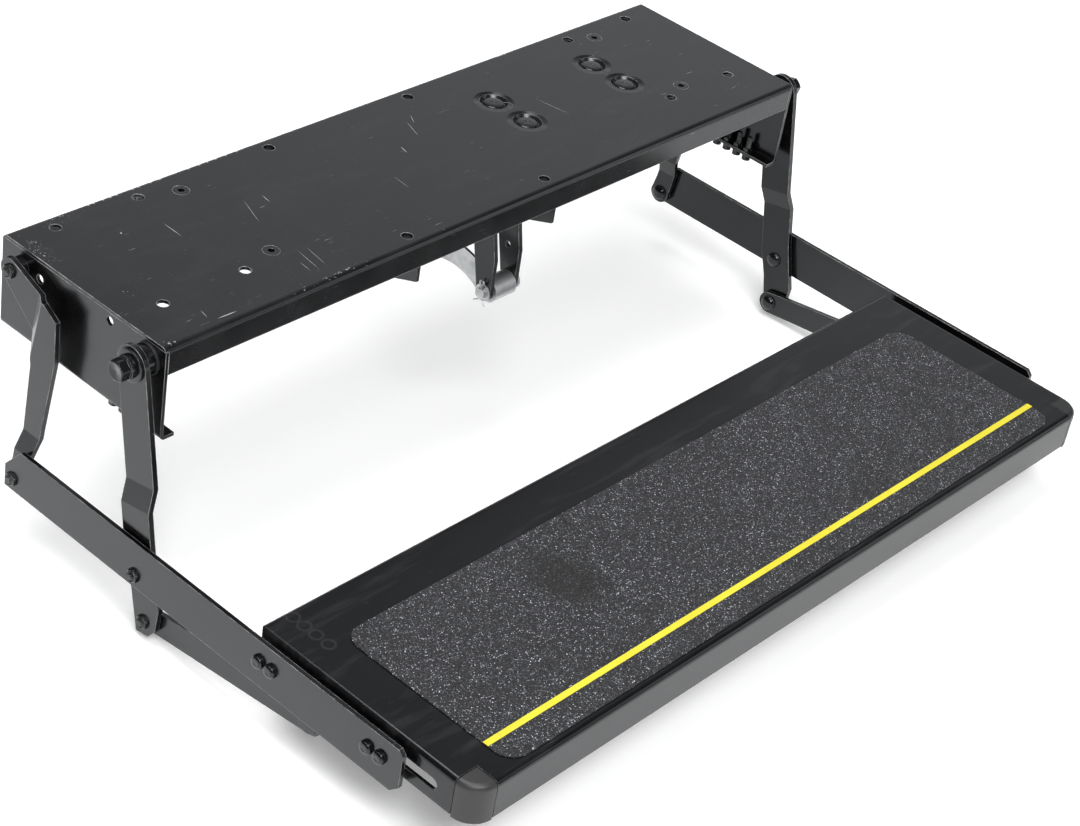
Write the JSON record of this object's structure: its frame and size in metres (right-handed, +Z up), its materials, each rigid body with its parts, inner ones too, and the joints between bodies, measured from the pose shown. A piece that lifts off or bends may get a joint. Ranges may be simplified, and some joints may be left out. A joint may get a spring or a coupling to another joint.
{
  "type": "caravan pull out step",
  "caption": "Pull out entrance step for a caravan: a folded frame with leg linkages, a sliding grip tread and an under-floor gear motor.",
  "frame": {"origin": "centre of the top plate's upper face, which bolts up under the floor", "axes": "+X along the doorway, -Y out of the door towards the tread's nose, +Z up"},
  "size_m": [0.8262, 0.562, 0.2498],
  "materials": {
    "black_steel": "semi-gloss powder coat",
    "tread_paint": "satin powder coat",
    "black_fasteners": "black oxide",
    "zinc": "zinc plated",
    "shaft_steel": "oiled steel",
    "bush_bronze": "sintered bronze",
    "gearbox_alloy": "die cast",
    "motor_paint": "gloss",
    "black_plastic": "moulded",
    "grit": "coarse grit sheet",
    "yellow_tape": "satin tape"
  },
  "bodies": {
    "frame": {"top_plate": "black_steel", "side_plate_left": "black_steel", "side_plate_right": "black_steel", "inner_bracket_left": "black_steel", "inner_bracket_right": "black_steel", "shaft_bushes": "black_plastic", "crank_bushes": "bush_bronze", "rear_pivot_bolts": "black_fasteners", "rear_pivot_spacers": "zinc", "rear_pivot_nuts": "zinc", "lip_bolts": "zinc", "lip_nuts": "zinc", "clinch_nuts": "black_fasteners", "gearbox_housing": "gearbox_alloy", "gearbox_cover": "gearbox_alloy", "gearbox_screws": "zinc", "motor_can": "motor_paint", "motor_end_cap": "black_plastic", "motor_bracket": "black_steel", "motor_bracket_screws": "black_fasteners", "motor_bracket_nuts": "zinc"},
    "drive": {"drive_shaft": "shaft_steel", "front_leg_left": "black_steel", "front_leg_right": "black_steel", "hub_spacers": "shaft_steel", "hub_washers": "black_fasteners", "hub_bolts": "black_fasteners", "lever_left": "black_steel", "lever_right": "black_steel", "lever_pin": "zinc", "lever_pin_clip": "zinc", "arm_pivot_bolts": "black_fasteners", "arm_pivot_washers": "black_plastic", "arm_pivot_nuts": "black_fasteners", "link_pivot_bolts": "black_fasteners", "link_pivot_washers": "black_plastic", "link_pivot_nuts": "black_fasteners"},
    "arms": {"arm_left": "black_steel", "arm_right": "black_steel", "slide_blocks": "black_plastic", "slide_keepers": "zinc", "slide_bolts": "black_fasteners", "slide_nuts": "zinc", "arm_rear_bolts": "black_fasteners", "arm_rear_washers": "black_plastic", "arm_rear_nuts": "black_fasteners"},
    "rear_leg_l": {"rear_leg_left": "black_steel"},
    "rear_leg_r": {"rear_leg_right": "black_steel"},
    "tread_assembly": {"tread": "tread_paint", "corner_caps": "black_plastic", "grip_pad": "grit", "edge_stripe": "yellow_tape", "link_brackets": "black_steel", "link_pins": "black_fasteners"},
    "link_l": {"link_left": "black_steel"},
    "link_r": {"link_right": "black_steel"},
    "crank": {"crank_shaft": "shaft_steel", "crank_arm": "shaft_steel"},
    "coupler_link": {"coupler": "zinc"}
  },
  "joints": [
    {"name": "drive_turn", "type": "hinge", "parent": "frame", "child": "drive", "pos_m": [0, -0.0775, -0.018], "axis": [1, 0, 0], "range_deg": [0, 60]},
    {"name": "arms_turn", "type": "hinge", "parent": "drive", "child": "arms", "pos_m": [0, -0.10976, -0.19204], "axis": [1, 0, 0], "range_deg": [-60, 0]},
    {"name": "rear_leg_left_turn", "type": "hinge", "parent": "frame", "child": "rear_leg_l", "pos_m": [-0.38, 0.073, -0.018], "axis": [1, 0, 0], "range_deg": [0, 60]},
    {"name": "rear_leg_right_turn", "type": "hinge", "parent": "frame", "child": "rear_leg_r", "pos_m": [0.38, 0.073, -0.018], "axis": [1, 0, 0], "range_deg": [0, 60]},
    {"name": "tread_slide", "type": "slide", "parent": "arms", "child": "tread_assembly", "axis": [0, 1, 0], "range_m": [0, 0.041]},
    {"name": "link_left_turn", "type": "hinge", "parent": "drive", "child": "link_l", "pos_m": [-0.38, -0.11796, -0.23628], "axis": [1, 0, 0], "range_deg": [-56, 0]},
    {"name": "link_right_turn", "type": "hinge", "parent": "drive", "child": "link_r", "pos_m": [0.38, -0.11796, -0.23628], "axis": [1, 0, 0], "range_deg": [-56, 0]},
    {"name": "crank_turn", "type": "hinge", "parent": "frame", "child": "crank", "pos_m": [0, 0.0145, -0.024], "axis": [1, 0, 0], "range_deg": [0, 60]},
    {"name": "coupler_turn", "type": "hinge", "parent": "drive", "child": "coupler_link", "pos_m": [0, -0.09026, -0.08683], "axis": [1, 0, 0], "range_deg": [-60, 0]}
  ],
  "couplings": [
    {"joint": "arms_turn", "follows": "drive_turn", "ratio": -1},
    {"joint": "rear_leg_left_turn", "follows": "drive_turn", "ratio": 1},
    {"joint": "rear_leg_right_turn", "follows": "drive_turn", "ratio": 1},
    {"joint": "tread_slide", "follows": "drive_turn", "m_per_rad": 0.0387},
    {"joint": "link_left_turn", "follows": "drive_turn", "ratio": -0.9215},
    {"joint": "link_right_turn", "follows": "drive_turn", "ratio": -0.9215},
    {"joint": "crank_turn", "follows": "drive_turn", "ratio": 1},
    {"joint": "coupler_turn", "follows": "drive_turn", "ratio": -1}
  ]
}
